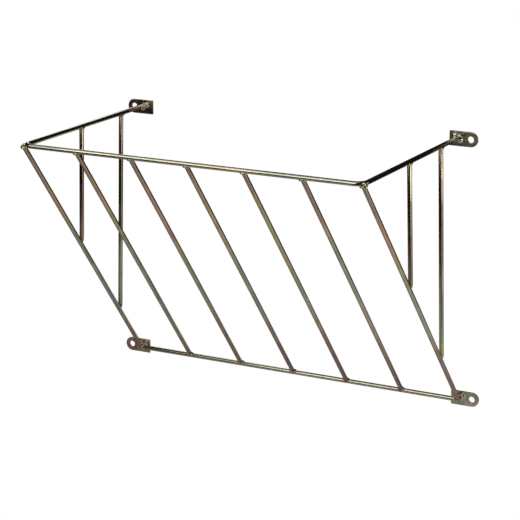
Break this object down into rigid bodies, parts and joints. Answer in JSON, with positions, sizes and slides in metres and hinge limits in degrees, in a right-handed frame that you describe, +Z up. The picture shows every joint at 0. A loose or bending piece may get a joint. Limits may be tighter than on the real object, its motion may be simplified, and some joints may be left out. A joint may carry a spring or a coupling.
{
  "type": "wall hay rack feeder",
  "caption": "Wall-mounted hay rack of welded round steel rod: flat bent top frame, sloping front bars, side uprights and bolt-on tabs.",
  "frame": {"origin": "on the wall plane, midway between the two lower bolt holes", "axes": "+X to the right along the wall, +Y into the wall, +Z up"},
  "size_m": [0.7062, 0.3913, 0.4801],
  "materials": {
    "plated_rod": "bright yellow-chromate zinc plate on drawn rod, with green, gold and mauve tints",
    "plated_tab": "yellow-chromate zinc plate on flat strip, grey-green with mauve patches",
    "weld_bead": "plated weld metal, bright and rippled"
  },
  "bodies": {
    "root": {"top_frame": "plated_rod", "bottom_rail": "plated_rod", "front_bar_1": "plated_rod", "front_bar_2": "plated_rod", "front_bar_3": "plated_rod", "front_bar_4": "plated_rod", "front_bar_5": "plated_rod", "left_end_bar": "plated_rod", "right_end_bar": "plated_rod", "left_front_upright": "plated_rod", "left_rear_upright": "plated_rod", "right_front_upright": "plated_rod", "right_rear_upright": "plated_rod", "upper_left_tab": "plated_tab", "upper_right_tab": "plated_tab", "lower_left_tab": "plated_tab", "lower_right_tab": "plated_tab", "front_rail_welds": "weld_bead", "bottom_rail_welds": "weld_bead", "upright_welds": "weld_bead", "upper_tab_welds": "weld_bead", "lower_tab_welds": "weld_bead"}
  },
  "joints": []
}
